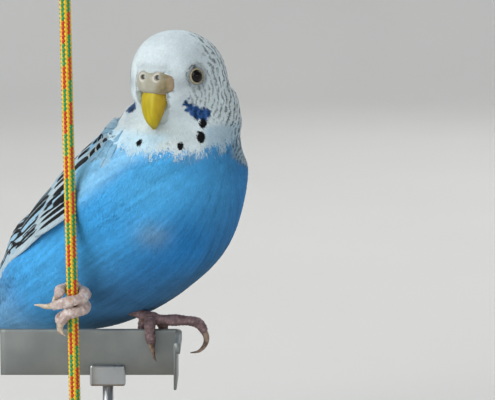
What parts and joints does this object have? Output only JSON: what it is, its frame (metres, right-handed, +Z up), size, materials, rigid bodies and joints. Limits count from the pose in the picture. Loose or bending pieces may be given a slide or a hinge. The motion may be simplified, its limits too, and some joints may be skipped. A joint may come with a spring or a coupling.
{
  "type": "budgerigar model",
  "caption": "Life-size still model of a budgerigar that stands on the corner of a tray rim and grips a rope, on a plain stand.",
  "frame": {"origin": "centre of the stand base's underside", "axes": "+Z up; +Y away from the viewer of the picture and +X to the picture's right. The bird's breast faces +X and -Y, its bill -Y and -X, and its tail points to -X and +Y, down"},
  "size_m": [0.1306, 0.1131, 0.148],
  "materials": {
    "plumage_blue": "matte plumage",
    "plumage_white": "matte plumage",
    "wing_feathers": "matte feathers, pale edges and dark middles",
    "tail_feathers": "satin feathers",
    "cere": "matte skin",
    "bill": "satin horn",
    "eye": "glossy, dark",
    "eyelid": "matte bare skin",
    "leg_skin": "matte scaly skin",
    "claw": "satin horn",
    "tray_steel": "dull sheet metal",
    "rope": "braided cord, yellow, red and green",
    "rod": "satin",
    "base": "satin varnish"
  },
  "bodies": {
    "root": {"torso": "plumage_blue", "neck": "plumage_white", "tail": "tail_feathers", "head": "plumage_white", "cere": "cere", "bill_upper": "bill", "bill_lower": "bill", "eye_left": "eye", "eyelid_left": "eyelid", "wing_left": "wing_feathers", "eye_right": "eye", "eyelid_right": "eyelid", "wing_right": "wing_feathers", "leg_left": "leg_skin", "foot_left": "leg_skin", "claw_left_1": "claw", "claw_left_2": "claw", "claw_left_3": "claw", "claw_left_4": "claw", "leg_right": "leg_skin", "foot_right": "leg_skin", "claw_right_1": "claw", "claw_right_2": "claw", "claw_right_3": "claw", "claw_right_4": "claw", "perch_tray_rim": "tray_steel", "perch_rope": "rope", "stand_rod_perch": "rod", "stand_rod_rope": "rod", "stand_base": "base"}
  },
  "joints": []
}
